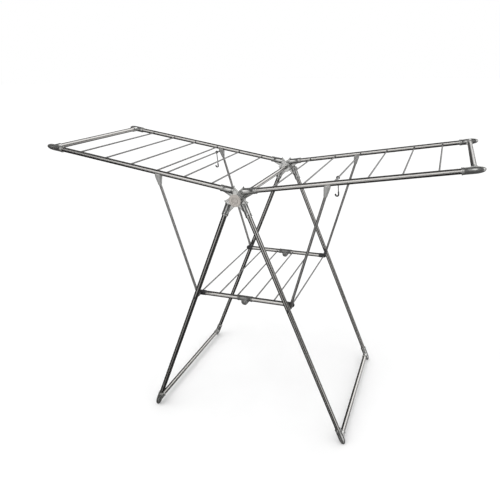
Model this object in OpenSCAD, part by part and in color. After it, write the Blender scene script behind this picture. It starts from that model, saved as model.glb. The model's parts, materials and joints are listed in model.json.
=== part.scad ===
// Folding clothes drying rack: two leg frames and two wings that turn on two
// hubs, a two-piece shelf that locks the legs apart, and a strut frame under
// each wing. The left half is the right half turned 180 degrees about Z.

/* [Frame] */
// Height of the hub axis above the floor
hub_z = 850; // [800:10:900]
// Lean of each leg from the vertical, in degrees
leg_lean = 22.3; // [21:0.1:24]
// Rise of each wing above the horizontal, in degrees
wing_rise = 9.1; // [8:0.1:11]
// Distance from the hub axis to each arm's centre line
arm_offset = 18.4; // [18:0.1:20]
// Reach of a wing, from the hub to the tip of its corners
wing_reach = 718; // [700:1:740]
// Distance from the centre plane to the leg tubes
leg_lane = 272.5; // [270:0.5:280]

/* [Tubes and rods] */
// Outer diameter of the frame tubes
tube_d = 16; // [15.5:0.1:16]
// Wall thickness of the frame tubes
tube_wall = 1; // [0.8:0.1:1.5]
// Diameter of the hanging rods
rod_d = 5; // [4:0.5:5.5]
// Diameter of the wing struts
strut_d = 9; // [8:0.5:9]
// Rods in each wing
wing_rods = 6; // [3:1:6]
// Distance from the hub to a wing's first rod
first_rod = 106; // [100:1:112]
// Spacing of a wing's rods
rod_pitch = 98.6; // [90:0.2:100]

/* [Hubs] */
// Radius of a hub ring over its lobes
ring_r = 20; // [19.5:0.1:20]
// Thickness of one hub ring with its clearance
ring_pitch = 12; // [11.5:0.1:12]
// Lobes around each ring
ring_lobes = 22; // [16:1:26]
// Scallops around each hub cap
cap_scallops = 28; // [20:1:36]
// Radius of the hub axle
axle_r = 5; // [4:0.1:6]
// Where a socket's sleeve ends, from the hub axis
socket_end = 64; // [60:1:70]

/* [Corners and feet] */
// Length of a corner fitting, collar to tip
corner_len = 62; // [60:1:66]
// Radius of a corner fitting's sleeve
corner_r = 10.3; // [10.2:0.1:10.5]
// Distance from a corner's tip to its branch
branch_from_tip = 29; // [28:1:31]
// Length of a corner's branch, from the main axis
branch_len = 27; // [25:1:30]

/* [Shelf and struts] */
// Distance along a leg from the hub to the shelf pivot
pivot_along = 395.5; // [390:0.5:400]
// Distance from the centre plane to the shelf rails
shelf_lane = 231; // [228:0.5:231]
// Drop of the middle hinge pin below the rail's centre line
hinge_drop = 10.3; // [10:0.1:11]
// Radius of a middle hinge lug
lug_r = 11.6; // [11:0.1:12]
// Distance from the centre plane to the struts
strut_lane = 252; // [251.5:0.1:252.5]
// Distance along a wing to its strut clips
clip_along = 288; // [284:1:289]
// Drop of the cross rod below the wing's centre plane
cross_drop = 12.5; // [12:0.1:13]
// Length of a hanging hook below the cross rod
hook_len = 60; // [50:1:65]

/* [Hidden] */
$fn = 64;

// Sides and ends
left = -1;
right = 1;
near = -1;
far = 1;

// Colours
steel = [0.72, 0.71, 0.69];
plastic = [0.62, 0.62, 0.60];
dark_plastic = [0.30, 0.30, 0.30];
pale_plastic = [0.78, 0.78, 0.76];

tube_r = tube_d / 2;
rod_r = rod_d / 2;
gap = 0.15;          // half the gap between two parts that turn on each other
fit = 0.05;          // radial clearance of a pin in its hole
wing_lane = leg_lane - 2 * ring_pitch;
stack_out = leg_lane + ring_pitch;
stack_in = wing_lane - ring_pitch;

// Hub sockets
lobe_r = 2.4;
socket_r = 10.3;
rim_r = 11;
neck_start = 19.8;   // the sleeve clears the neighbouring ring
tube_start = 26;     // the tube's end inside the sleeve
fin_t = 2.6;

// Legs: distances are measured along the arm from the hub
foot_flat = 1.2;     // how far the tip is cut back to make a flat foot
leg_reach = (hub_z + arm_offset * sin(leg_lean)) / cos(leg_lean) + foot_flat;
leg_elevation = leg_lean - 90;
tube_in_corner = 20;

// Shelf: its pivots, in the plane of the legs
shelf_half = arm_offset * cos(leg_lean) + pivot_along * sin(leg_lean);
shelf_z = hub_z + arm_offset * sin(leg_lean) - pivot_along * cos(leg_lean);
shelf_rod_x = [0.2 * shelf_half, 0.6 * shelf_half, shelf_half];
hinge_sleeve = 26;
hinge_pin_r = 2.5;
end_r = 9;
pivot_r = 3;
eye_t = 5;
spacer_r = 5.5;

// Struts: from the shelf pivot to the cross rod under the wing
cross_x = clip_along * cos(wing_rise) - (arm_offset - cross_drop) * sin(wing_rise);
cross_z = hub_z + clip_along * sin(wing_rise) + (arm_offset - cross_drop) * cos(wing_rise);
strut_len = norm([cross_x - shelf_half, cross_z - shelf_z]);
strut_tilt = atan2(cross_x - shelf_half, cross_z - shelf_z);
clip_len = 27;
clip_w = 19;
saddle_top = arm_offset - 3.6;

// Hooks
hook_wire_r = 1.7;
hook_eye_r = rod_r + hook_wire_r + 0.3;
hook_bend_r = 5;
hook_ball_r = 3;
hook_lean = 4;       // the shank leans, so that the bend hangs under the rod
hook_y = [205, -110];

// ---- Placing ----

// Puts the right half's parts on either side
module on_side(side) rotate([0, 0, side == left ? 180 : 0]) children();

// Repeats a part of the +Y side, mirrored, on the -Y side
module both_ends() for (flip = [0, 1]) mirror([0, flip, 0]) children();

// An arm leaves the hub along its own +X, with its centre line arm_offset up its own +Z
module on_arm(elevation, lane) translate([0, lane, hub_z]) rotate([0, -elevation, 0]) children();

// A cylinder along Y from y0 to y1
module y_rod(r, y0, y1) translate([0, y0, 0]) rotate([-90, 0, 0]) cylinder(r = r, h = y1 - y0);

// A cylinder along X from x0 to x1
module x_rod(r, x0, x1) translate([x0, 0, 0]) rotate([0, 90, 0]) cylinder(r = r, h = x1 - x0);

// A tube along X from x0 to x1
module x_tube(x0, x1) difference() {
    x_rod(tube_r, x0, x1);
    x_rod(tube_r - tube_wall, x0 - 1, x1 + 1);
}

// A plate in the XZ plane from y0 to y1
module xz_plate(y0, y1) translate([0, y1, 0]) rotate([90, 0, 0]) linear_extrude(y1 - y0) children();

// A solid turned about X, its outline given as [x, radius] points
module x_turned(points) rotate([0, 90, 0]) rotate_extrude() polygon([for (p = points) [p[1], p[0]]]);

// ---- Hubs ----

module lobed_disc(r, count, bump) {
    circle(r = r - bump * 0.75);
    for (i = [0 : count - 1]) rotate(i * 360 / count) translate([r - bump, 0]) circle(r = bump);
}

// One arm's socket: a lobed ring on the axle, a neck, a flared flange and a sleeve for the tube.
// The ring fills one half of the lane, and the opposite arm's ring fills the other.
module arm_socket() color(plastic) {
    difference() {
        union() {
            xz_plate(gap, ring_pitch - gap) lobed_disc(ring_r, ring_lobes, lobe_r);
            xz_plate(gap, 8) polygon([[6, 8.5], [4, 19], [neck_start + 1, 27], [neck_start + 1, 8.5]]);
            xz_plate(2, 2 + fin_t) polygon([[-3, 18.5], [neck_start + 1, 36], [neck_start + 1, 12], [0, 10]]);
            xz_plate(2, 2 + fin_t) polygon([[16, -6], [17, 10], [56, arm_offset - 8], [53, 9]]);
            translate([0, 0, arm_offset]) x_turned([[neck_start, 0], [neck_start, socket_r],
                [53, socket_r], [53.8, 10.8], [55.2, 10.8], [56, socket_r],
                [socket_end - 4.5, socket_r], [socket_end - 4, rim_r],
                [socket_end - 0.6, rim_r], [socket_end, rim_r - 0.6], [socket_end, 0]]);
            translate([neck_start, 0, arm_offset]) rotate([90, 0, 90]) linear_extrude(2.2) flange();
        }
        y_rod(axle_r + fit, -1, ring_pitch + 1);
        translate([0, 0, arm_offset]) x_rod(tube_r, tube_start, socket_end + 1);
    }
}

// The flange at the hub end of a sleeve: a disc with a peak on its outer side
module flange() {
    circle(r = 11.7);
    polygon([[-11.3, 3.2], [-1.4, 18.4], [1.4, 18.4], [11.3, 3.2]]);
}

module leg_socket(side, end) on_side(side) on_arm(leg_elevation, side * end * leg_lane) arm_socket();
module wing_socket(side, end) on_side(side) on_arm(wing_rise, side * end * wing_lane) arm_socket();

module spine_tube() color(steel) translate([0, 0, hub_z]) difference() {
    y_rod(tube_r, -stack_in, stack_in);
    y_rod(tube_r - tube_wall, -stack_in - 1, stack_in + 1);
}

// Each axle is pressed into the spine tube and carries four rings
module hub_axles() color(steel) translate([0, 0, hub_z]) for (turn = [0, 180]) rotate([0, 0, turn]) {
    y_rod(axle_r, stack_in - 1, stack_out + 1);
    y_rod(tube_r - tube_wall, stack_in - 36, stack_in);
}

module hub_cap(end) color(pale_plastic) translate([0, 0, hub_z]) rotate([0, 0, end == near ? 180 : 0])
    difference() {
        xz_plate(stack_out, stack_out + 2.6) lobed_disc(ring_r + 0.4, cap_scallops, 1.3);
        y_rod(axle_r, stack_out - 1, stack_out + 1.2);
        y_rod(10.8, stack_out + 1.2, stack_out + 3);
        difference() {
            y_rod(16.6, stack_out + 2.2, stack_out + 3);
            y_rod(16, stack_out + 2, stack_out + 4);
        }
    }

// A low dome that plugs the recess of each cap
module hub_buttons() color(pale_plastic) translate([0, 0, hub_z]) for (turn = [0, 180]) rotate([0, 0, turn])
    translate([0, stack_out + 1.2, 0]) rotate([-90, 0, 0]) rotate_extrude() polygon(
        [[0, 0], [10.3, 0], [10.3, 1.2], [9.7, 1.8], [7.5, 2.1], [7, 1.9], [0, 2.3]]);

// ---- Corner and foot fittings ----

// Radius of the rounded nose at x, which narrows from the branch to the tip
nose_start = corner_len - 28;
function nose_r(x) = corner_r * pow(1 - pow((x - nose_start) / (corner_len - nose_start), 2.3), 1 / 2.3);
function nose_x(angle) = nose_start + (corner_len - nose_start) * sin(angle);
nose = [for (i = [0 : 14]) [nose_x(i * 90 / 14), nose_r(nose_x(i * 90 / 14))]];

// A bullet-shaped tee: the rail enters the collar at x = 0 and the cross tube enters along -Y
module corner_fitting() color(plastic) difference() {
    union() {
        x_turned(concat([[0, 0], [0, rim_r - 0.5], [0.6, rim_r], [3.8, rim_r], [4.3, corner_r - 0.3],
            [5.4, corner_r - 0.3], [6, corner_r + 0.3], [7.4, corner_r + 0.3], [8, corner_r]], nose));
        translate([corner_len - branch_from_tip, 0, 0]) y_rod(10, -branch_len, 0);
        translate([corner_len - branch_from_tip, 0, 0]) y_rod(10.6, -branch_len, -branch_len + 3);
        translate([0, 0, -1.5]) linear_extrude(3)
            polygon([[12, -9], [12, -12], [24, -22], [34, -22], [34, -9]]);
    }
    x_rod(tube_r, -1, tube_in_corner);
    translate([corner_len - branch_from_tip, 0, 0]) y_rod(tube_r, -branch_len - 1, -12);
}

// A corner at the end of an arm, with its branch towards the centre plane
module corner_at(side, end, elevation, lane, reach) on_side(side) on_arm(elevation, side * end * lane)
    translate([reach - corner_len, 0, arm_offset]) mirror([0, side * end < 0 ? 1 : 0, 0]) corner_fitting();

module wing_corner(side, end) corner_at(side, end, wing_rise, wing_lane, wing_reach);
module foot_corner(side, end) difference() {
    corner_at(side, end, leg_elevation, leg_lane, leg_reach);
    translate([-500, -500, -50]) cube([1000, 1000, 50]);
}

// ---- Tubes and rods of the arms ----

// The cross tube that joins an arm's two corners
module end_tube(side, elevation, lane, reach) color(steel) on_side(side) on_arm(elevation, 0)
    translate([reach - branch_from_tip, 0, arm_offset]) difference() {
        y_rod(tube_r, -lane + 12, lane - 12);
        y_rod(tube_r - tube_wall, -lane, lane);
    }

module wing_end_tube(side) end_tube(side, wing_rise, wing_lane, wing_reach);
module foot_tube(side) end_tube(side, leg_elevation, leg_lane, leg_reach);

module leg_tube(side, end) color(steel) on_side(side) on_arm(leg_elevation, side * end * leg_lane)
    translate([0, 0, arm_offset]) difference() {
        x_tube(tube_start, leg_reach - corner_len + tube_in_corner);
        translate([pivot_along, 0, 0]) y_rod(pivot_r, -tube_d, tube_d);
    }

// The rods of a wing, grown by extra where they are used to drill the rails
module rods_of_wing(extra) for (i = [0 : wing_rods - 1]) translate([first_rod + i * rod_pitch, 0, arm_offset])
    y_rod(rod_r + extra, -wing_lane + 4, wing_lane - 4);

module wing_rods_on(side) color(steel) on_side(side) on_arm(wing_rise, 0) rods_of_wing(0);

module wing_rail(side, end) color(steel) on_side(side) on_arm(wing_rise, 0) difference() {
    translate([0, side * end * wing_lane, arm_offset])
        x_tube(tube_start, wing_reach - corner_len + tube_in_corner);
    rods_of_wing(fit);
}

// ---- Shelf ----

// A half shelf lies along +X from the middle hinge to its pivot
module on_shelf(side) on_side(side) translate([0, 0, shelf_z]) children();

module rods_of_shelf(extra) for (x = shelf_rod_x) translate([x, 0, 0])
    y_rod(rod_r + extra, -shelf_lane + 4, shelf_lane - 4);

module shelf_rods(side) color(steel) on_shelf(side) rods_of_shelf(0);

module shelf_rail(side, end) color(steel) on_shelf(side) difference() {
    translate([0, side * end * shelf_lane, 0]) x_tube(hinge_sleeve - 10, shelf_half - 8);
    rods_of_shelf(fit);
}

// Sleeve and lug of a half shelf's middle hinge. The lug fills one half of the
// lane, and the sleeve is cut back where the other half's lug turns.
module shelf_hinge() color(plastic) difference() {
    union() {
        difference() {
            x_turned([[gap, 0], [gap, 9.1], [hinge_sleeve - 4, 9.1], [hinge_sleeve - 3.5, 9.6],
                [hinge_sleeve, 9.6], [hinge_sleeve, 0]]);
            translate([0, 0, -hinge_drop]) y_rod(lug_r + 2 * gap, -12, gap);
        }
        translate([0, 0, -hinge_drop]) y_rod(lug_r, gap, 9);
    }
    x_rod(tube_r, hinge_sleeve - 10, hinge_sleeve + 1);
    translate([0, 0, -hinge_drop]) y_rod(hinge_pin_r + fit, -12, 12);
}

module shelf_hinges(side) on_shelf(side) for (lane = [-shelf_lane, shelf_lane])
    translate([0, lane, 0]) shelf_hinge();

// Headed pins through both lugs of each middle hinge
module shelf_hinge_pins() color(steel) translate([0, 0, shelf_z - hinge_drop])
    for (lane = [-shelf_lane, shelf_lane]) translate([0, lane, 0]) {
        y_rod(hinge_pin_r, -10.6, 10.6);
        y_rod(5, -10.8, -9.3);
        y_rod(5, 9.3, 10.8);
    }

// Rounded fitting at the pivot end of the shelf rail on the +Y side
module shelf_end() color(dark_plastic) translate([shelf_half, shelf_lane, 0]) difference() {
    x_turned(concat([[-20, 0], [-20, end_r]], [for (a = [0 : 6 : 90]) [end_r * sin(a), end_r * cos(a)]]));
    x_rod(tube_r, -21, -8);
    y_rod(pivot_r + fit, -2, 12);
    y_rod(rod_r, -12, -4);
}

module shelf_ends(side) on_shelf(side) both_ends() shelf_end();

// Pivot pins of one side: a rivet through the leg, with spacers each side of the strut.
// The left pins run on into the shelf ends; the right ones stop short of them.
module pivot_pins(side) color(dark_plastic) on_shelf(side) both_ends() translate([shelf_half, 0, 0]) {
    y_rod(pivot_r, side == left ? shelf_lane : shelf_lane + end_r + 0.6, leg_lane + tube_r + 1);
    y_rod(5, leg_lane + tube_r, leg_lane + tube_r + 1.8);
    y_rod(spacer_r, strut_lane + eye_t / 2 + 0.3, leg_lane - tube_r);
    y_rod(spacer_r, shelf_lane + end_r + 0.6, strut_lane - eye_t / 2 - 0.3);
}

// ---- Struts ----

// The strut frame stands on the shelf pivot, its own +Z towards the cross rod
module along_strut() translate([shelf_half, 0, shelf_z]) rotate([0, strut_tilt, 0]) children();

module strut(side, end) color(steel) on_side(side) along_strut() translate([0, side * end * strut_lane, 0])
    difference() {
        union() {
            translate([0, 0, 16]) cylinder(r = strut_d / 2, h = strut_len - 20);
            y_rod(6.5, -eye_t / 2, eye_t / 2);
            translate([-strut_d / 2, -eye_t / 2, 0]) cube([strut_d, eye_t, 18]);
        }
        y_rod(pivot_r + fit, -10, 10);
    }

// A point d down the strut from the cross rod and w to its side, in the wing's own XZ plane
strut_dir = [-sin(strut_tilt + wing_rise), -cos(strut_tilt + wing_rise)];
strut_side = [strut_dir[1], -strut_dir[0]];
cross_at = [clip_along, arm_offset - cross_drop];
function by_strut(d, w) = cross_at + d * strut_dir + w * strut_side;

// A tapered clip on the top of the strut on the +Y side, cupped under the wing's rail. The cross
// rod ends halfway through its boss.
module strut_clip() difference() {
    on_arm(wing_rise, wing_lane) difference() {
        union() {
            xz_plate(-clip_w / 2, clip_w / 2) polygon([
                [clip_along - 10, saddle_top], [clip_along + 10, saddle_top],
                [clip_along + 10, saddle_top - 8], by_strut(clip_len, -6), by_strut(clip_len, 6),
                [clip_along - 10, saddle_top - 10]]);
            translate([cross_at[0], 0, cross_at[1]]) y_rod(5, -clip_w / 2 - 3, clip_w / 2);
        }
        translate([0, 0, arm_offset]) x_rod(tube_r + gap, 0, wing_reach);
        translate([cross_at[0], 0, cross_at[1]]) y_rod(rod_r, -clip_w, 0);
    }
    along_strut() translate([0, strut_lane, 0]) cylinder(r = strut_d / 2, h = strut_len - 4);
}

module strut_clips(side) color(pale_plastic) on_side(side) both_ends() strut_clip();

module cross_rod(side) color(steel) on_side(side) on_arm(wing_rise, 0)
    translate([cross_at[0], 0, cross_at[1]]) y_rod(rod_r, -wing_lane, wing_lane);

// A wire hook that hangs on the cross rod and ends in a ball. Both hooks open the same way.
module hook(side) color(steel) translate([side * cross_x, hook_y[side == left ? 0 : 1], cross_z])
    rotate([0, -hook_lean, 0]) {
        rotate([90, 0, 0]) rotate_extrude() translate([hook_eye_r, 0]) circle(r = hook_wire_r);
        translate([0, 0, -hook_len + hook_bend_r])
            cylinder(r = hook_wire_r, h = hook_len - hook_bend_r - hook_eye_r);
        translate([-hook_bend_r, 0, -hook_len + hook_bend_r]) {
            rotate([90, 0, 0]) rotate([0, 0, 180]) rotate_extrude(angle = 180)
                translate([hook_bend_r, 0]) circle(r = hook_wire_r);
            translate([-hook_bend_r, 0, 0]) sphere(r = hook_ball_r);
        }
    }

spine_tube();
hub_axles();
hub_cap(near);  // hub_cap_near
hub_cap(far);  // hub_cap_far
hub_buttons();
leg_tube(left, near);  // leg_tube_left_near
leg_tube(left, far);  // leg_tube_left_far
foot_tube(left);  // foot_tube_left
foot_corner(left, near);  // foot_corner_left_near
foot_corner(left, far);  // foot_corner_left_far
leg_socket(left, near);  // leg_socket_left_near
leg_socket(left, far);  // leg_socket_left_far
pivot_pins(left);  // pivot_pins_left
leg_tube(right, near);  // leg_tube_right_near
leg_tube(right, far);  // leg_tube_right_far
foot_tube(right);  // foot_tube_right
foot_corner(right, near);  // foot_corner_right_near
foot_corner(right, far);  // foot_corner_right_far
leg_socket(right, near);  // leg_socket_right_near
leg_socket(right, far);  // leg_socket_right_far
pivot_pins(right);  // pivot_pins_right
wing_rail(left, near);  // wing_rail_left_near
wing_rail(left, far);  // wing_rail_left_far
wing_end_tube(left);  // wing_end_tube_left
wing_corner(left, near);  // wing_corner_left_near
wing_corner(left, far);  // wing_corner_left_far
wing_socket(left, near);  // wing_socket_left_near
wing_socket(left, far);  // wing_socket_left_far
wing_rods_on(left);  // wing_rods_left
wing_rail(right, near);  // wing_rail_right_near
wing_rail(right, far);  // wing_rail_right_far
wing_end_tube(right);  // wing_end_tube_right
wing_corner(right, near);  // wing_corner_right_near
wing_corner(right, far);  // wing_corner_right_far
wing_socket(right, near);  // wing_socket_right_near
wing_socket(right, far);  // wing_socket_right_far
wing_rods_on(right);  // wing_rods_right
shelf_rail(left, near);  // shelf_rail_left_near
shelf_rail(left, far);  // shelf_rail_left_far
shelf_rods(left);  // shelf_rods_left
shelf_hinges(left);  // shelf_hinges_left
shelf_ends(left);  // shelf_ends_left
shelf_hinge_pins();
shelf_rail(right, near);  // shelf_rail_right_near
shelf_rail(right, far);  // shelf_rail_right_far
shelf_rods(right);  // shelf_rods_right
shelf_hinges(right);  // shelf_hinges_right
shelf_ends(right);  // shelf_ends_right
strut(left, near);  // strut_left_near
strut(left, far);  // strut_left_far
strut_clips(left);  // strut_clips_left
cross_rod(left);  // cross_rod_left
hook(left);  // hook_left
strut(right, near);  // strut_right_near
strut(right, far);  // strut_right_far
strut_clips(right);  // strut_clips_right
cross_rod(right);  // cross_rod_right
hook(right);  // hook_right
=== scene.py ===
import json
import math

import bmesh
import bpy
import numpy as np
from mathutils import Matrix, Vector


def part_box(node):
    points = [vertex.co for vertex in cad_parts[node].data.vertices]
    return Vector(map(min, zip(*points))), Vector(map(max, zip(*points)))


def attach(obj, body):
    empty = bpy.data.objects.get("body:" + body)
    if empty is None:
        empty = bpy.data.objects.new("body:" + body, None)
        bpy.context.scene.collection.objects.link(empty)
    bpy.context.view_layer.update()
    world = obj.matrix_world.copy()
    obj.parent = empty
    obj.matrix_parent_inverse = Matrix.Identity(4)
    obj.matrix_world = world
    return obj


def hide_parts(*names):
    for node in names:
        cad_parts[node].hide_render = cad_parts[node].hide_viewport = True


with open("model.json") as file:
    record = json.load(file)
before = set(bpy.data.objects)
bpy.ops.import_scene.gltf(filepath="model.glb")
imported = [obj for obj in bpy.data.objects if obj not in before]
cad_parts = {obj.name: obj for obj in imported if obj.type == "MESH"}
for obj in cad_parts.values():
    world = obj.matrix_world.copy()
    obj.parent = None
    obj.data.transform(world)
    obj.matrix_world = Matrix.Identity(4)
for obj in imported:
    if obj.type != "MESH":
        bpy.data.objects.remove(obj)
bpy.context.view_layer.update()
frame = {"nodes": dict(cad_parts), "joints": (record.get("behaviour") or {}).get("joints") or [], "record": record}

# ---- Viewpoint, in metres and degrees ----

CAMERA_AT = (0.5926, -1.6495, 1.2602)
CAMERA_TURN = 18.1
CAMERA_TILT = -21.16
CAMERA_ROLL = -0.48
CAMERA_LENS = 35.88
CAMERA_SENSOR = 36.0
CAMERA_SHIFT = -0.0611

# ---- Studio light ----

ROOM_LIGHT = 1.0
BOX_LIGHT = 1.4          # the soft boxes, as reflections see them
GAP_LIGHT = 0.10         # and the gaps between them
BOX_COUNT = 4            # soft boxes round the rack
BOX_TURN = 2.83          # where they start, in radians
KEY_LIGHT = 0.6
KEY_SPREAD = 40          # degrees

# ---- Sizes of the moulded fittings, in millimetres ----

MM = 0.001
GAP = 0.15              # between two parts that turn on each other
TUBE_R = 8.0
TUBE_BORE = TUBE_R + 0.05
STRUT_R = 4.5
STRUT_FOOT_R = 6.5
CROSS_ROD_R = 2.5
LANE_HALF = 12.0        # a hub ring fills one half of its arm's lane
RING_R = 20.0
RING_LOBES = 22
LOBE_DEPTH = 2.3
AXLE_BORE = 5.05
SOCKET_R = 10.3
RIM_R = 11.0
PEAK_R = 15.2           # the peak of a socket's flange, from the tube's axis
FLANGE_T = 2.2
WEB_Y = (2, 4.6)        # the two faces of a socket's web and fin
NECK_X = 19.8           # where a socket's sleeve starts
TUBE_X = 26.0           # where the tube starts inside it
SOCKET_END = 64.0
CAP_R = 20.4
CAP_SCALLOPS = 28
CAP_T = 2.6
BUTTON_R = 10.3
RECESS_Y = 1.2
CORNER_LEN = 62.0
CORNER_R = 10.3
BRANCH_X = 33.0         # a corner's branch, from its collar
BRANCH_LEN = 27.0
TUBE_DEPTH = 20.0       # how far a tube goes into its corner
NOSE_X = 34.0
HINGE_LEN = 26.0
HINGE_DROP = 10.3
LUG_R = 11.6
END_R = 9.0
CLIP_LEN = 27.0
CLIP_W = 19.0
PIN_R = 3.0             # leg pivots
HINGE_PIN_R = 2.5
HOOK_WIRE_R = 1.7
SHEATH_R = HOOK_WIRE_R + 0.8
HOOK_BALL_R = 3.0
HOOK_BEND_R = 5.0
HOOK_LEAN = 4            # degrees
HOOK_LEN = 60.0

SIDES = ("left", "right")
ENDS = ("near", "far")


# ---- Places, worked out from the frame ----

def centre_line(node):
    """The two ends of a straight tube's axis, from its mesh's end rings, and the tube's direction."""
    points = np.array([v.co for v in frame["nodes"][node].data.vertices])
    middle = points.mean(axis=0)
    along = (points - middle) @ np.linalg.svd(points - middle, full_matrices=False)[2][0]
    rings = [points[abs(along - limit) < 0.0005] for limit in (along.min(), along.max())]
    start, end = (Vector((ring.min(axis=0) + ring.max(axis=0)) / 2) for ring in rings)
    return start, end, (end - start).normalized()


def joint_at(name):
    return Vector(next(j["pos_m"] for j in frame["joints"] if j["name"] == name))


def axes(origin, x_way, z_way):
    """A local frame in millimetres: +X along x_way, and +Z as near z_way as it can be."""
    x = x_way.normalized()
    z = (z_way - z_way.dot(x) * x).normalized()
    y = z.cross(x)
    turn = Matrix((x, y, z)).transposed().to_4x4()
    return Matrix.Translation(origin) @ turn @ Matrix.Scale(MM, 4)


HUB = joint_at("leg_fold")
SHELF_REACH = abs(joint_at("shelf_left_pivot").x)
ALONG_Y = Vector((0, 1, 0))
UP = Vector((0, 0, 1))


def arm_frame(tube_node):
    """The frame of an arm's hub ring, and the distance from the hub axis to the tube's axis and tip."""
    start, end, way = centre_line(tube_node)
    if abs(end.x) < abs(start.x):
        start, end, way = end, start, -way
    hub = Vector((HUB.x, start.y, HUB.z))
    offset = (start - hub) - (start - hub).dot(way) * way
    return axes(hub, way, offset), offset.length / MM, (end - hub).dot(way) / MM


# ---- Shells ----

def shell(rings, loop=False):
    """A closed mesh through rings of points. A ring of one point closes an end as a pole."""
    bm = bmesh.new()
    loops = [[bm.verts.new(p) for p in ring] for ring in rings]
    pairs = list(zip(loops, loops[1:])) + ([(loops[-1], loops[0])] if loop else [])
    for a, b in pairs:
        count = max(len(a), len(b))
        for i in range(count):
            j = (i + 1) % count
            corners = [a[i % len(a)], a[j % len(a)], b[j % len(b)], b[i % len(b)]]
            corners = [c for k, c in enumerate(corners) if c not in corners[:k]]
            bm.faces.new(corners)
    bmesh.ops.recalc_face_normals(bm, faces=bm.faces)
    return to_object(bm, "shell")


def to_object(bm, name):
    mesh = bpy.data.meshes.new(name)
    bm.to_mesh(mesh)
    bm.free()
    obj = bpy.data.objects.new(name, mesh)
    bpy.context.scene.collection.objects.link(obj)
    return obj


def turned(profile, at=(0, 0, 0), axis="x", steps=48):
    """A solid of revolution. The profile is a list of (place along the axis, radius)."""
    def point(place, radius, angle):
        u, v = radius * math.cos(angle), radius * math.sin(angle)
        spot = {"x": (place, u, v), "y": (v, place, u), "z": (u, v, place)}[axis]
        return tuple(a + b for a, b in zip(spot, at))
    angles = [2 * math.pi * i / steps for i in range(steps)]
    return shell([[point(p, r, a) for a in (angles if r else angles[:1])] for p, r in profile])


def rod(radius, low, high, at=(0, 0, 0), axis="y", edge=0.5, steps=48):
    """A straight round bar with a rounded edge at each end."""
    quarter = (0, 0.785, 1.571)
    first = [(low + edge * (1 - math.cos(a)), radius - edge * (1 - math.sin(a))) for a in quarter]
    last = [(high - (place - low), r) for place, r in reversed(first)]
    return turned([(low, 0)] + first + last + [(high, 0)], at, axis, steps)


def prism(outline, low, high, plane="xz", edge=0.5):
    """A plate with rounded edges. The outline is a list of points in the plane."""
    bm = bmesh.new()
    def place(u, v, w):
        return {"xz": (u, w, v), "xy": (u, v, w), "yz": (w, u, v)}[plane]
    base = bm.faces.new([bm.verts.new(place(u, v, low)) for u, v in outline])
    top = bmesh.ops.extrude_face_region(bm, geom=[base])["geom"]
    shift = Vector(place(0, 0, high - low))
    bmesh.ops.translate(bm, vec=shift, verts=[g for g in top if isinstance(g, bmesh.types.BMVert)])
    bmesh.ops.recalc_face_normals(bm, faces=bm.faces)
    if edge:
        bmesh.ops.bevel(bm, geom=list(bm.edges), offset=edge, segments=2, profile=0.6, affect="EDGES",
                        clamp_overlap=True)
    return to_object(bm, "plate")


def scalloped(stations, count, per_lobe=10):
    """A disc along Y with a lobed rim. Each station is (y, radius, depth of the valleys)."""
    steps = count * per_lobe
    rings = []
    for y, radius, depth in stations:
        ring = []
        for i in range(steps if radius else 1):
            angle = 2 * math.pi * i / steps
            r = radius - depth * (1 - abs(math.cos(count * angle / 2)))
            ring.append((r * math.sin(angle), y, r * math.cos(angle)))
        rings.append(ring)
    return rings


def merged(name, shells, cuts=()):
    """One mesh from shells that overlap, less the cuts."""
    base = shells[0]
    for other, how in [(s, "UNION") for s in shells[1:]] + [(c, "DIFFERENCE") for c in cuts]:
        step = base.modifiers.new(how, "BOOLEAN")
        step.operation = how
        step.solver = "EXACT"
        step.object = other
    mesh = bpy.data.meshes.new_from_object(base.evaluated_get(bpy.context.evaluated_depsgraph_get()))
    for spent in list(shells) + list(cuts):
        bpy.data.objects.remove(spent)
    mesh.name = name
    return mesh


def placed(name, mesh, matrix, slot, body, *nodes, look=None):
    """A piece made from a local mesh: put in its place, shaded, and joined to its body."""
    mesh = mesh.copy()
    mesh.transform(matrix)
    if matrix.determinant() < 0:
        mesh.flip_normals()
    mesh.materials.clear()
    mesh.materials.append(look or MATERIALS[slot])
    shade(mesh)
    obj = bpy.data.objects.new(name, mesh)
    bpy.context.scene.collection.objects.link(obj)
    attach(obj, body)
    if nodes:
        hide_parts(*nodes)
    return obj


def shade(mesh, angle=math.radians(32)):
    """Smooth shading with sharp edges where two faces meet steeply."""
    bm = bmesh.new()
    bm.from_mesh(mesh)
    bmesh.ops.remove_doubles(bm, verts=bm.verts, dist=1e-6)
    for face in bm.faces:
        face.smooth = True
    for edge in bm.edges:
        edge.smooth = len(edge.link_faces) == 2 and edge.calc_face_angle(0) < angle
    bm.to_mesh(mesh)
    bm.free()


def y_outward(matrix, end):
    """The same frame, mirrored if need be, so that its +Y points out of the rack at that end."""
    outward = 1 if end == "far" else -1
    flip = (matrix.to_3x3() @ ALONG_Y).y * outward < 0
    return matrix @ Matrix.Diagonal((1, -1, 1, 1)) if flip else matrix


# ---- Materials ----

MOULD_GRAIN = 2200      # noise scale, per metre


def new_material(name):
    material = bpy.data.materials.new(name)
    material.use_nodes = True
    nodes = material.node_tree.nodes
    return material, nodes, material.node_tree.links, nodes["Principled BSDF"]


def ramp(nodes, links, source, stops):
    """A colour ramp from source. Each stop is (place, colour), or (place, grey level)."""
    node = nodes.new("ShaderNodeValToRGB")
    elements = node.color_ramp.elements
    elements[0].position = stops[0][0]
    elements[1].position = stops[-1][0]
    for place, _ in stops[1:-1]:
        elements.new(place)
    for element, (_, colour) in zip(elements, stops):
        element.color = (*colour, 1) if isinstance(colour, tuple) else (colour, colour, colour, 1)
    links.new(source, node.inputs["Fac"])
    return node.outputs["Color"]


def scaled(colour, factor):
    return tuple(c * factor for c in colour)


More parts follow.
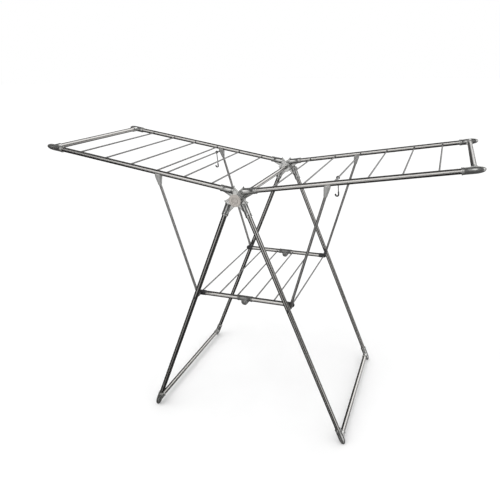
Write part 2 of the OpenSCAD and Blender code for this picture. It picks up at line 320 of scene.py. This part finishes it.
def noise(nodes, links, vector, scale, detail, roughness):
    node = nodes.new("ShaderNodeTexNoise")
    node.inputs["Scale"].default_value = scale
    node.inputs["Detail"].default_value = detail
    node.inputs["Roughness"].default_value = roughness
    links.new(vector, node.inputs["Vector"])
    return node.outputs["Fac"]


def to_range(nodes, links, source, low, high):
    """A noise's usual spread, mapped to low..high."""
    node = nodes.new("ShaderNodeMapRange")
    node.inputs["From Min"].default_value = 0.3
    node.inputs["From Max"].default_value = 0.7
    node.inputs["To Min"].default_value = low
    node.inputs["To Max"].default_value = high
    links.new(source, node.inputs["Value"])
    return node.outputs["Result"]


def bumped(nodes, links, shader, source, distance, strength):
    node = nodes.new("ShaderNodeBump")
    node.inputs["Strength"].default_value = strength
    node.inputs["Distance"].default_value = distance
    links.new(source, node.inputs["Height"])
    links.new(node.outputs["Normal"], shader.inputs["Normal"])


def steel(name, colour, way, rough):
    """Polished drawn steel: fine streaks and faint smudges that run along the tube."""
    material, nodes, links, shader = new_material(name)
    coords = nodes.new("ShaderNodeTexCoord").outputs["Object"]
    lay = nodes.new("ShaderNodeMapping")
    lay.inputs["Rotation"].default_value = way.to_track_quat("Z", "Y").inverted().to_euler()
    lay.inputs["Scale"].default_value = (1, 1, 0.02)
    links.new(coords, lay.inputs["Vector"])
    streaks = noise(nodes, links, lay.outputs["Vector"], 420, 2, 0.5)
    smudges = noise(nodes, links, coords, 14, 3, 0.55)
    tone = ramp(nodes, links, streaks, [(0.3, scaled(colour, 0.94)), (0.7, scaled(colour, 1.04))])
    links.new(tone, shader.inputs["Base Color"])
    both = nodes.new("ShaderNodeMix")
    both.inputs["Factor"].default_value = 0.45
    links.new(streaks, both.inputs["A"])
    links.new(smudges, both.inputs["B"])
    links.new(to_range(nodes, links, both.outputs["Result"], *rough), shader.inputs["Roughness"])
    shader.inputs["Metallic"].default_value = 1.0
    bumped(nodes, links, shader, streaks, 0.00001, 0.12)
    return material


def moulded(name, colour, rough, metallic=0.0, coat=0.0):
    """Moulded plastic: a fine grain, slow shifts of tone and gloss, and a paler colour on sharp convex edges."""
    material, nodes, links, shader = new_material(name)
    coords = nodes.new("ShaderNodeTexCoord").outputs["Object"]
    fine = noise(nodes, links, coords, MOULD_GRAIN, 2, 0.5)
    slow = noise(nodes, links, coords, 55, 3, 0.6)
    stops = [(0.3, scaled(colour, 0.90)), (0.55, colour), (0.75, scaled(colour, 1.08))]
    tone = ramp(nodes, links, slow, stops)
    # Sharp convex edges (high pointiness) are given a paler colour
    edges = nodes.new("ShaderNodeNewGeometry").outputs["Pointiness"]
    pale_edges = ramp(nodes, links, edges, [(0.50, 0.0), (0.58, 0.5)])
    mix = nodes.new("ShaderNodeMix")
    mix.data_type = "RGBA"
    first, second, mixed = mix.inputs[6], mix.inputs[7], mix.outputs[2]
    links.new(pale_edges, mix.inputs["Factor"])
    links.new(tone, first)
    second.default_value = (*[min(1, c * 1.35 + 0.04) for c in colour], 1)
    links.new(mixed, shader.inputs["Base Color"])
    links.new(to_range(nodes, links, slow, *rough), shader.inputs["Roughness"])
    shader.inputs["Metallic"].default_value = metallic
    shader.inputs["Coat Weight"].default_value = coat
    bumped(nodes, links, shader, fine, 0.00003, 0.35)
    return material


# The steel of each kind of tube or rod: its colour, and its lowest and highest roughness
STEELS = {
    "tube_steel": ((0.60, 0.585, 0.565), (0.16, 0.30)),
    "rod_steel": ((0.25, 0.245, 0.24), (0.16, 0.30)),
    "strut_steel": ((0.60, 0.59, 0.575), (0.28, 0.42)),
}
MATERIALS = {
    "pin_steel": steel("pin_steel", (0.48, 0.48, 0.47), ALONG_Y, (0.25, 0.4)),
    "socket_plastic": moulded("socket_plastic", (0.62, 0.62, 0.605), (0.15, 0.24), metallic=0.9, coat=0.25),
    "hinge_plastic": moulded("hinge_plastic", (0.20, 0.20, 0.195), (0.18, 0.28), metallic=0.7, coat=0.25),
    "cap_plastic": moulded("cap_plastic", (0.50, 0.465, 0.43), (0.26, 0.38), metallic=0.35, coat=0.3),
    "clip_plastic": moulded("clip_plastic", (0.46, 0.46, 0.45), (0.30, 0.42), metallic=0.6),
    "dark_plastic": moulded("dark_plastic", (0.022, 0.022, 0.024), (0.38, 0.52)),
}


def steel_along(kind, way):
    """The steel of one kind of tube or rod, with its streaks along one direction."""
    way = way if way.z > 0 or (way.z == 0 and way.x + way.y > 0) else -way
    name = f"{kind}_{round(math.degrees(math.atan2(way.z, way.x)))}_{round(abs(way.y) * 90)}"
    if name not in MATERIALS:
        colour, rough = STEELS[kind]
        MATERIALS[name] = steel(name, colour, way, rough)
    return MATERIALS[name]


# ---- CAD nodes: tubes and rods keep their shape ----

def paint_nodes():
    """Each node gets its slot's material, and the steel ones streaks along their length."""
    across = ("wing_rods", "shelf_rods", "cross_rod", "foot_tube", "wing_end", "spine")
    for part in frame["record"]["subparts"]:
        node, slot = part["node"], part["material_slot"]
        if slot in STEELS:
            way = ALONG_Y if node.startswith(across) else centre_line(node)[2]
            look = steel_along(slot, way)
        else:
            look = MATERIALS[slot]
        mesh = frame["nodes"][node].data
        mesh.materials.clear()
        mesh.materials.append(look)


# ---- Hubs ----

def socket_mesh(offset):
    """An arm's socket in its arm's frame, with the hub axis along Y through the origin."""
    rim = [(GAP, RING_R - 0.6), (GAP + 0.25, RING_R - 0.15), (GAP + 0.7, RING_R), (LANE_HALF - 0.85, RING_R),
           (LANE_HALF - 0.4, RING_R - 0.15), (LANE_HALF - GAP, RING_R - 0.6)]
    inside = [(LANE_HALF - GAP, AXLE_BORE + 3), (LANE_HALF - GAP, AXLE_BORE), (GAP, AXLE_BORE),
              (GAP, AXLE_BORE + 3)]
    stations = [(y, r, LOBE_DEPTH) for y, r in rim] + [(y, r, 0) for y, r in inside]
    ring = shell(scalloped(stations, RING_LOBES), loop=True)
    sleeve = turned([
        (NECK_X, 0), (NECK_X, 11.2), (NECK_X + 0.5, 11.6), (NECK_X + 2, 11.5), (NECK_X + 5, 10.9),
        (NECK_X + 9, 10.5), (NECK_X + 14, SOCKET_R), (52.6, SOCKET_R), (53.2, 10.6), (54.4, 10.85),
        (55.6, 10.6), (56.2, SOCKET_R - 0.1), (59.2, SOCKET_R - 0.1), (59.8, 10.7), (60.6, RIM_R),
        (63.2, RIM_R), (63.8, 10.8), (SOCKET_END, 10.4), (SOCKET_END, TUBE_BORE + 0.5),
        (SOCKET_END - 0.5, TUBE_BORE), (TUBE_X, TUBE_BORE), (TUBE_X, 0),
    ], at=(0, 0, offset))
    peak = [(1.5 * math.sin(a), PEAK_R + 1.5 * math.cos(a)) for a in (-1.1, -0.55, 0, 0.55, 1.1)]
    turn = np.linspace(math.radians(16), math.radians(-196), 28)
    disc = [(11.5 * math.cos(a), 11.5 * math.sin(a)) for a in turn]
    flange = prism([(y, z + offset) for y, z in peak + disc], NECK_X, NECK_X + FLANGE_T, "yz", 0.5)
    neck = prism([(5, 9), (4, 18.6), (NECK_X + 1, offset + 8), (NECK_X + 1, 9)], GAP, 8, edge=0.7)
    web = prism([(-3, 18.3), (NECK_X + 1, offset + PEAK_R), (NECK_X + 1, 12), (0, 10)], *WEB_Y, edge=0.45)
    fin = prism([(16, -6), (17, 10), (56, offset - 8.4), (53, 9)], *WEB_Y, edge=0.45)
    return merged("socket", [ring, neck, web, fin, flange, sleeve])


def make_sockets():
    """The eight sockets, all alike."""
    mesh = None
    for kind, tube, body in (("leg_socket", "leg_tube", "leg_frame"), ("wing_socket", "wing_rail", "wing")):
        for side in SIDES:
            for end in ENDS:
                matrix, offset, _ = arm_frame(f"{tube}_{side}_{end}")
                mesh = mesh or socket_mesh(offset)
                node = f"{kind}_{side}_{end}"
                placed(f"{node}_moulding", mesh, matrix, "socket_plastic", f"{body}_{side}", node)


def make_caps():
    """The scalloped cover of each hub, and the domed button in its recess."""
    cap = shell(scalloped([
        (0, 0, 0), (0, CAP_R - 0.8, 1.2), (0.3, CAP_R - 0.2, 1.3), (0.8, CAP_R, 1.3), (1.7, CAP_R - 0.1, 1.3),
        (2.2, CAP_R - 0.5, 1.2), (2.5, CAP_R - 1.2, 0.9), (CAP_T, CAP_R - 2.2, 0.4), (CAP_T, 17.2, 0),
        (CAP_T - 0.1, 16.7, 0), (CAP_T - 0.45, 16.4, 0), (CAP_T - 0.45, 16.1, 0), (CAP_T - 0.1, 15.8, 0),
        (CAP_T, 15.3, 0), (CAP_T, 11.5, 0), (CAP_T - 0.2, 11.0, 0), (RECESS_Y, 10.85, 0), (RECESS_Y, 0, 0),
    ], CAP_SCALLOPS))
    button = turned([
        (0, 0), (0, BUTTON_R), (1.3, BUTTON_R), (1.65, BUTTON_R - 0.2), (1.8, BUTTON_R - 0.6),
        (1.7, BUTTON_R - 1.2), (1.5, BUTTON_R - 1.6), (1.5, BUTTON_R - 2.2), (1.75, BUTTON_R - 3.2),
        (2.0, 5.5), (2.2, 3), (2.28, 1.2), (2.3, 0)], axis="y", steps=64)
    body = "leg_frame_left"
    for end, sign in (("near", -1), ("far", 1)):
        low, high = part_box(f"hub_cap_{end}")
        inner = low.y if sign > 0 else high.y
        base = Matrix.Translation((HUB.x, inner, HUB.z)) @ Matrix.Diagonal((MM, sign * MM, MM, 1))
        placed(f"hub_cap_{end}_moulding", cap.data, base, "cap_plastic", body, f"hub_cap_{end}")
        placed(f"hub_button_{end}_moulding", button.data, base @ Matrix.Translation((0, RECESS_Y, 0)),
               "cap_plastic", body, "hub_buttons")
    for spent in (cap, button):
        bpy.data.objects.remove(spent)


# ---- Corners and feet ----

def corner_mesh():
    """A bullet-shaped tee, its rail entering at x = 0 and its cross tube entering along -Y."""
    reach = CORNER_LEN - NOSE_X
    nose = []
    for t in np.sin(np.linspace(0, 1.5, 16)):
        nose.append((NOSE_X + reach * t, CORNER_R * (1 - t ** 2.3) ** (1 / 2.3)))
    body = turned([
        (TUBE_DEPTH, 0), (TUBE_DEPTH, TUBE_BORE), (0.5, TUBE_BORE), (0, TUBE_BORE + 0.5), (0, 10.4),
        (0.25, 10.8), (0.8, RIM_R), (3.4, RIM_R), (4.0, 10.7), (4.4, CORNER_R - 0.3), (5.2, CORNER_R - 0.3),
        (5.7, CORNER_R + 0.25), (6.6, CORNER_R + 0.4), (7.5, CORNER_R + 0.2), (8.1, CORNER_R)]
        + nose + [(CORNER_LEN, 0)])
    branch = turned([
        (0, 0), (0, 10), (-BRANCH_LEN + 4, 10), (-BRANCH_LEN + 3.4, 10.4), (-BRANCH_LEN + 2.8, 10.6),
        (-BRANCH_LEN + 0.6, 10.6), (-BRANCH_LEN + 0.15, 10.4), (-BRANCH_LEN, 10),
        (-BRANCH_LEN, TUBE_BORE + 0.4), (-BRANCH_LEN + 0.4, TUBE_BORE), (-12, TUBE_BORE), (-12, 0),
    ], at=(BRANCH_X, 0, 0), axis="y")
    gusset = prism([(12, -9), (12, -12), (24, -22), (BRANCH_X, -22), (BRANCH_X, -9)], -1.5, 1.5, "xy", 0.5)
    neck = rod(TUBE_BORE, -BRANCH_LEN - 1, -12, at=(BRANCH_X, 0, 0), edge=0.1)
    return merged("corner", [body, branch, gusset], [neck])


def make_corners():
    """The eight corners, all alike. The lower four are the feet."""
    mesh = None
    for kind, tube, body in (("foot_corner", "leg_tube", "leg_frame"), ("wing_corner", "wing_rail", "wing")):
        for side in SIDES:
            for end in ENDS:
                node = f"{kind}_{side}_{end}"
                matrix, offset, tip = arm_frame(f"{tube}_{side}_{end}")
                mesh = mesh or corner_mesh()
                matrix = y_outward(matrix @ Matrix.Translation((tip - TUBE_DEPTH, 0, offset)), end)
                piece = placed(f"{node}_moulding", mesh, matrix, "socket_plastic", f"{body}_{side}", node)
                if kind == "foot_corner":
                    flatten_foot(piece)


def flatten_foot(piece):
    """Cuts a foot off level with the floor."""
    bm = bmesh.new()
    bm.from_mesh(piece.data)
    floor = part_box("foot_corner_right_near")[0].z
    bmesh.ops.bisect_plane(bm, geom=list(bm.verts) + list(bm.edges) + list(bm.faces),
                           plane_co=(0, 0, floor), plane_no=(0, 0, -1), clear_outer=True)
    rim = [e for e in bm.edges if len(e.link_faces) == 1]
    bmesh.ops.contextual_create(bm, geom=rim)
    bm.to_mesh(piece.data)
    bm.free()
    shade(piece.data)


# ---- Shelf ----

def hinge_mesh():
    """Sleeve and lug of a middle hinge, its rail entering along +X and its pin along Y below it."""
    sleeve = turned([
        (GAP, 0), (GAP, 8.7), (GAP + 0.4, 9.1), (20.6, 9.1), (21.2, 9.4), (22.0, 9.6), (25.2, 9.6),
        (25.8, 9.4), (HINGE_LEN, 9.0), (HINGE_LEN, 8.4), (HINGE_LEN - 0.4, TUBE_BORE), (16, TUBE_BORE),
        (16, 0)])
    lug = rod(LUG_R, GAP, 9, at=(0, 0, -HINGE_DROP), edge=0.8)
    relief = rod(LUG_R + 2 * GAP, -14, GAP, at=(0, 0, -HINGE_DROP), edge=0.05)
    bore = rod(HINGE_PIN_R + 0.05, -14, 14, at=(0, 0, -HINGE_DROP), edge=0.05, steps=24)
    relieved = bpy.data.objects.new("sleeve", merged("sleeve", [sleeve], [relief]))
    bpy.context.scene.collection.objects.link(relieved)
    return merged("hinge", [relieved, lug], [bore])


def shelf_frame(side, end):
    """The frame of a shelf rail: from the middle hinge along the rail, with +Z up."""
    start = centre_line(f"shelf_rail_{side}_{end}")[0]
    way = Vector((-1 if side == "left" else 1, 0, 0))
    return axes(Vector((0, start.y, start.z)), way, UP)


def end_mesh(reach):
    """Rounded fitting at the pivot end of a shelf rail, with a pin boss on its +Y side."""
    arc = [(END_R * math.sin(a), END_R * math.cos(a)) for a in np.linspace(0, 1.5, 12)]
    mouth = [(-8, 0), (-8, TUBE_BORE), (-20.0, TUBE_BORE), (-20.3, 8.3), (-20.3, 8.8), (-20, END_R)]
    body = turned(mouth + arc + [(END_R, 0)])
    boss = rod(5.2, 4, END_R + 0.3, edge=0.4)
    mesh = merged("shelf_end", [body, boss])
    mesh.transform(Matrix.Translation((reach, 0, 0)))
    return mesh


def make_shelf():
    """The halves of the two middle hinges, and the fittings at the leg pivots."""
    hinge = hinge_mesh()
    fitting = end_mesh(SHELF_REACH / MM)
    for side in SIDES:
        for end in ENDS:
            matrix = shelf_frame(side, end)
            placed(f"shelf_hinge_{side}_{end}_moulding", hinge, matrix, "socket_plastic", f"shelf_{side}",
                   f"shelf_hinges_{side}", look=MATERIALS["hinge_plastic"])
            placed(f"shelf_end_{side}_{end}_moulding", fitting, y_outward(matrix, end), "dark_plastic",
                   f"shelf_{side}", f"shelf_ends_{side}")


def headed_pin(radius, head, shoulder, tip):
    """A pin along Y with a domed head at each end."""
    half = [(0, radius), (shoulder, radius), (shoulder, head - 0.2), (shoulder + 0.3, head),
            (shoulder + 0.7, head - 0.2), (tip - 0.35, head - 1.3), (tip - 0.1, head - 2.8), (tip, 1.0)]
    outline = [(-y, r) for y, r in reversed(half[1:])] + half
    return turned([(-tip, 0)] + outline + [(tip, 0)], axis="y", steps=32)


def make_shelf_pins():
    """Headed pins of the middle hinges, and the rivets and spacers of the leg pivots."""
    pin = headed_pin(HINGE_PIN_R, 5.0, 9.3, 10.8)
    for end in ENDS:
        matrix = shelf_frame("right", end) @ Matrix.Translation((0, 0, -HINGE_DROP))
        placed(f"shelf_hinge_pin_{end}", pin.data, matrix, "pin_steel", "shelf_left", "shelf_hinge_pins")
    bpy.data.objects.remove(pin)
    for side in SIDES:
        low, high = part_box(f"pivot_pins_{side}")
        lane = centre_line(f"shelf_rail_{side}_far")[0].y / MM
        strut = centre_line(f"strut_{side}_far")[0].y / MM
        leg = centre_line(f"leg_tube_{side}_far")[0].y / MM
        face = lane + END_R + 0.6
        inner = lane if side == "left" else face
        outline = [(inner, PIN_R), (face, PIN_R), (face, 5.1), (face + 0.4, 5.5),
                   (strut - 3.2, 5.5), (strut - 2.8, 5.1), (strut - 2.8, PIN_R),
                   (strut + 2.8, PIN_R), (strut + 2.8, 5.1), (strut + 3.2, 5.5),
                   (leg - 8.4, 5.5), (leg - 8.0, 5.1), (leg - 8.0, PIN_R),
                   (leg + 7.6, PIN_R), (leg + 7.6, 4.9), (leg + 8.3, 5.0), (leg + 9.0, 4.6),
                   (leg + 9.5, 3.4), (leg + 9.8, 1.6)]
        pin = turned([(inner, 0)] + outline + [(leg + 9.8, 0)], axis="y", steps=32)
        x, z = (low.x + high.x) / 2, (low.z + high.z) / 2
        for end, sign in (("near", -1), ("far", 1)):
            matrix = Matrix.Translation((x, 0, z)) @ Matrix.Diagonal((MM, sign * MM, MM, 1))
            placed(f"pivot_pin_{side}_{end}", pin.data, matrix, "dark_plastic", f"leg_frame_{side}",
                   f"pivot_pins_{side}")
        bpy.data.objects.remove(pin)


# ---- Struts, clips and hooks ----

def superellipse(centre, u, v, a, b, power, steps=40):
    """A ring of points round centre, a along u and b along v. Power 2 is an ellipse, and more is boxier."""
    ring = []
    for i in range(steps):
        angle = 2 * math.pi * (i + 0.5) / steps
        c, s = math.cos(angle), math.sin(angle)
        x = a * math.copysign(abs(c) ** (2 / power), c)
        y = b * math.copysign(abs(s) ** (2 / power), s)
        ring.append(tuple(centre + x * u + y * v))
    return ring


def strut_frame(side, end):
    """The frame of a strut: +Z from its pivot to the cross rod, and the strut's length."""
    pivot = joint_at(f"strut_{side}_pivot")
    top = joint_at(f"hook_{side}_swing")
    lane = centre_line(f"strut_{side}_{end}")[0].y
    foot = Vector((pivot.x, lane, pivot.z))
    way = (top - pivot).normalized()
    return axes(foot, way.cross(Vector((0, -1, 0))), way), (top - pivot).length / MM


def strut_mesh(length):
    """A tube that is pressed flat at the foot, with an eye for the pivot pin."""
    x, y, z = Vector((1, 0, 0)), ALONG_Y, UP
    r = STRUT_FOOT_R
    rings = [[(0, 0, -r)]]
    for angle in np.linspace(0.25, math.pi / 2, 6):
        rings.append(superellipse(-r * math.cos(angle) * z, x, y, r * math.sin(angle), 2.5, 3.5))
    for height, a, b, power in ((4, 6.4, 2.5, 3.5), (9, 6.0, 2.55, 3.3), (13, 5.5, 2.8, 3),
                                (17, 5.05, 3.3, 2.6), (21, 4.75, 3.9, 2.2), (25, 4.55, 4.35, 2),
                                (29, STRUT_R, STRUT_R, 2), (length - 4, STRUT_R, STRUT_R, 2)):
        rings.append(superellipse(height * z, x, y, a, b, power))
    rings.append([(0, 0, length - 4)])
    eye = rod(PIN_R + 0.05, -10, 10, edge=0.05, steps=24)
    return merged("strut", [shell(rings)], [eye])


def make_struts():
    for side in SIDES:
        for end in ENDS:
            matrix, length = strut_frame(side, end)
            look = steel_along("strut_steel", (matrix.to_3x3() @ UP).normalized())
            node = f"strut_{side}_{end}"
            placed(f"{node}_tube", strut_mesh(length), matrix, "rod_steel", f"strut_frame_{side}", node,
                   look=look)


def clip_mesh(cross, down, step_out, offset):
    """A tapered clip in its arm's frame, with a boss on the cross rod and a saddle under the rail.

    cross is where the cross rod meets the clip, down points along the strut, step_out is the strut's
    distance from the rail along Y, and offset is the height of the rail's axis.
    """
    across = ALONG_Y.cross(down)
    across = across if across.x > 0 else -across
    saddle = Vector((cross.x, 0, offset - 3.4))
    foot = cross + CLIP_LEN * down + step_out * ALONG_Y
    rings = [[tuple(saddle)]]
    for t, a, b, power in ((0.0, 8.6, 8.2, 5), (0.012, 9.6, 9.2, 5), (0.04, 10, 9.5, 5), (0.25, 9.8, 9.4, 5),
                           (0.40, 9.0, 8.9, 4.5), (0.55, 8.0, 8.2, 4), (0.70, 7.1, 7.4, 3.4),
                           (0.85, 6.4, 6.7, 3), (0.97, 6.0, 6.2, 2.7), (1.0, 5.6, 5.8, 2.6)):
        lean = Vector((1, 0, 0)).lerp(across, min(1, t * 1.3)).normalized()
        rings.append(superellipse(saddle.lerp(foot, t), lean, ALONG_Y, a, b, power))
    rings.append([tuple(foot)])
    middle = (cross.x, 0, cross.z)
    boss = rod(5, -CLIP_W / 2 - 3, 0, at=middle, edge=0.7)
    head = rod(3.4, 0, CLIP_W / 2 + 0.9, at=middle, edge=0.8, steps=32)
    rail = rod(TUBE_R + GAP, cross.x - 40, cross.x + 40, at=(0, 0, offset), axis="x")
    return merged("clip", [shell(rings), boss, head], [rail])


def make_clips():
    """The clips that join each strut to the rail above it."""
    for side in SIDES:
        for end in ENDS:
            arm, offset, _ = arm_frame(f"wing_rail_{side}_{end}")
            arm = y_outward(arm, end)
            into = arm.inverted()
            lane = centre_line(f"wing_rail_{side}_{end}")[0].y
            top, foot = joint_at(f"hook_{side}_swing"), joint_at(f"strut_{side}_pivot")
            cross = into @ Vector((top.x, lane, top.z))
            down = (into @ Vector((foot.x, lane, foot.z)) - cross).normalized()
            step_out = abs(centre_line(f"strut_{side}_{end}")[0].y - lane) / MM
            mesh = clip_mesh(cross, down, step_out, offset)
            placed(f"strut_clip_{side}_{end}_moulding", mesh, arm, "clip_plastic", f"strut_frame_{side}",
                   f"strut_clips_{side}")


def swept(path, radius, steps=16):
    """A round wire along a path that nowhere runs along Y."""
    rings = []
    for i, point in enumerate(path):
        way = (path[min(i + 1, len(path) - 1)] - path[max(i - 1, 0)]).normalized()
        v = (ALONG_Y - ALONG_Y.dot(way) * way).normalized()
        u = v.cross(way)
        angles = [2 * math.pi * k / steps for k in range(steps)]
        rings.append([tuple(point + radius * (math.cos(a) * u + math.sin(a) * v)) for a in angles])
    return shell([[tuple(path[0])]] + rings + [[tuple(path[-1])]])


def make_hooks():
    """Wire hooks: an eye wound round the cross rod, a shank, and a sheathed bend that ends in a ball."""
    eye_r = CROSS_ROD_R + HOOK_WIRE_R + 0.3
    turn = np.linspace(math.radians(-330), math.radians(-22), 37)
    pitch = np.linspace(2.2, 0, 37)
    eye = [Vector((eye_r * math.sin(a), y, -eye_r * math.cos(a))) for a, y in zip(turn, pitch)]
    shank = [Vector((-0.35, 0, -eye_r - 1.2)), Vector((0, 0, -eye_r - 3))]
    shank += [Vector((0, 0, z)) for z in np.linspace(-eye_r - 6, -HOOK_LEN + HOOK_BEND_R + 2, 7)]
    bend = [Vector((HOOK_BEND_R * (math.cos(a) - 1), 0, -HOOK_LEN + HOOK_BEND_R * (1 - math.sin(a))))
            for a in np.linspace(0, math.pi, 21)]
    wire = swept(eye + shank + bend[:4], HOOK_WIRE_R)
    cuff = [Vector((0, 0, -HOOK_LEN + HOOK_BEND_R + z)) for z in (9, 8.4, 4)]
    sheath = swept(cuff + bend, SHEATH_R)
    profile = [(HOOK_BALL_R * math.sin(a), HOOK_BALL_R * math.cos(a)) for a in np.linspace(-1.57, 1.57, 14)]
    ball = turned(profile, at=tuple(bend[-1]), axis="z", steps=24)
    tip = merged("hook_tip", [sheath, ball])
    lean = Matrix.Rotation(math.radians(-HOOK_LEAN), 4, "Y") @ Matrix.Scale(MM, 4)
    for side in SIDES:
        body = f"hook_{side}"
        low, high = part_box(body)
        top = joint_at(f"hook_{side}_swing")
        matrix = Matrix.Translation((top.x, (low.y + high.y) / 2, top.z)) @ lean
        placed(f"hook_{side}_wire", wire.data, matrix, "rod_steel", body, body,
               look=steel_along("rod_steel", UP))
        placed(f"hook_{side}_tip", tip, matrix, "dark_plastic", body, body)
    bpy.data.objects.remove(wire)


# ---- Weld beads ----

def rod_centres(node):
    """The middle of each rod of a node that holds several rods along Y."""
    mesh = frame["nodes"][node].data
    group = list(range(len(mesh.vertices)))

    def root(i):
        while group[i] != i:
            group[i] = group[group[i]]
            i = group[i]
        return i

    for edge in mesh.edges:
        a, b = (root(i) for i in edge.vertices)
        group[a] = b
    rods = {}
    for i, vertex in enumerate(mesh.vertices):
        rods.setdefault(root(i), []).append(vertex.co)
    return [sum(points, Vector()) / len(points) for points in rods.values()]


def make_beads():
    """Small weld beads where the rods of the wings and the shelf enter their rails."""
    outline = [(-9.4, 0), (-9.4, 2.6), (-8.7, 3.0), (-8.0, 3.6), (-6.8, 4.0), (-6.8, 0)]
    for side in SIDES:
        for kind in ("wing", "shelf"):
            lane = abs(centre_line(f"{kind}_rail_{side}_far")[0].y) / MM
            beads = []
            for centre in rod_centres(f"{kind}_rods_{side}"):
                if kind == "shelf" and abs(centre.x) > 0.95 * SHELF_REACH:
                    continue
                for sign in (-1, 1):
                    profile = [(sign * (lane + y), r) for y, r in outline]
                    beads.append(turned(profile, at=(centre.x / MM, 0, centre.z / MM), axis="y", steps=24))
            placed(f"{kind}_rod_beads_{side}", merged("beads", beads), Matrix.Scale(MM, 4), "pin_steel",
                   f"{kind}_{side}")


# ---- Stage ----

def make_floor():
    """A plain pale floor, which the metal doesn't reflect."""
    bm = bmesh.new()
    bmesh.ops.create_circle(bm, cap_ends=True, radius=30, segments=96)
    floor = to_object(bm, "floor")
    material, nodes, links, shader = new_material("floor")
    coords = nodes.new("ShaderNodeTexCoord").outputs["Object"]
    tone = ramp(nodes, links, noise(nodes, links, coords, 3, 3, 0.5), [(0.3, 0.90), (0.7, 0.93)])
    links.new(tone, shader.inputs["Base Color"])
    shader.inputs["Roughness"].default_value = 0.9
    shader.inputs["Specular IOR Level"].default_value = 0.1
    floor.data.materials.append(material)
    floor.visible_glossy = False


def make_studio():
    """Even white light. Reflections see a bright band of soft boxes, with darker gaps, floor and ceiling."""
    world = bpy.data.worlds.new("studio")
    world.use_nodes = True
    bpy.context.scene.world = world
    nodes, links = world.node_tree.nodes, world.node_tree.links
    back = nodes["Background"]
    back.inputs["Color"].default_value = (1, 1, 1, 1)
    split = nodes.new("ShaderNodeSeparateXYZ")
    links.new(nodes.new("ShaderNodeTexCoord").outputs["Generated"], split.inputs["Vector"])

    def maths(how, a, b=None, c=None):
        node = nodes.new("ShaderNodeMath")
        node.operation = how
        for socket, value in zip(node.inputs, (a, b, c)):
            if isinstance(value, (int, float)):
                socket.default_value = value
            elif value is not None:
                links.new(value, socket)
        return node.outputs[0]

    round_angle = maths("ARCTAN2", split.outputs["Y"], split.outputs["X"])
    wave = maths("SINE", maths("MULTIPLY_ADD", round_angle, BOX_COUNT, BOX_TURN))
    boxes = maths("SMOOTH_MIN", maths("MAXIMUM", maths("MULTIPLY_ADD", wave, 1.6, 0.2), 0.0), 1.0, 0.1)
    sideways = ramp(nodes, links, maths("MULTIPLY_ADD", split.outputs["X"], 0.5, 0.5),
                    [(0.0, 0.12), (0.20, 0.15), (0.27, 1.0), (1.0, 1.0)])
    height = ramp(nodes, links, maths("MULTIPLY_ADD", split.outputs["Z"], 0.5, 0.5),
                  [(0.0, 0.03), (0.14, 0.05), (0.22, 0.25), (0.30, 0.40), (0.38, 0.75), (0.44, 0.45),
                   (0.49, 0.05), (0.53, 0.10), (0.60, 0.9), (0.68, 1.0), (0.84, 1.0), (0.92, 0.10),
                   (1.0, 0.06)])
    band = maths("MULTIPLY", height, maths("MULTIPLY_ADD", boxes, BOX_LIGHT, GAP_LIGHT))
    seen = maths("MULTIPLY", band, sideways)
    ray = nodes.new("ShaderNodeLightPath")
    level = nodes.new("ShaderNodeMix")
    links.new(ray.outputs["Is Glossy Ray"], level.inputs["Factor"])
    level.inputs["A"].default_value = ROOM_LIGHT
    links.new(seen, level.inputs["B"])
    links.new(level.outputs["Result"], back.inputs["Strength"])


def make_lights():
    """One broad, soft key from above, which the metal doesn't reflect."""
    key = bpy.data.lights.new("key", "SUN")
    key.energy = KEY_LIGHT
    key.angle = math.radians(KEY_SPREAD)
    lamp = bpy.data.objects.new("key", key)
    lamp.rotation_euler = (math.radians(18), math.radians(-14), 0)
    lamp.visible_glossy = False
    bpy.context.scene.collection.objects.link(lamp)


def make_camera():
    data = bpy.data.cameras.new("camera")
    data.lens = CAMERA_LENS
    data.sensor_width = CAMERA_SENSOR
    data.shift_x = CAMERA_SHIFT
    camera = bpy.data.objects.new("camera", data)
    turn = Matrix.Rotation(math.radians(CAMERA_TURN), 4, "Z")
    tilt = Matrix.Rotation(math.radians(90 + CAMERA_TILT), 4, "X")
    roll = Matrix.Rotation(math.radians(CAMERA_ROLL), 4, "Z")
    camera.matrix_world = Matrix.Translation(CAMERA_AT) @ turn @ tilt @ roll
    bpy.context.scene.collection.objects.link(camera)
    bpy.context.scene.camera = camera


make_camera()
make_floor()
make_studio()
make_lights()
paint_nodes()
make_sockets()
make_caps()
make_corners()
make_shelf()
make_shelf_pins()
make_struts()
make_clips()
make_hooks()
make_beads()
bpy.context.scene.view_settings.view_transform = "Standard"
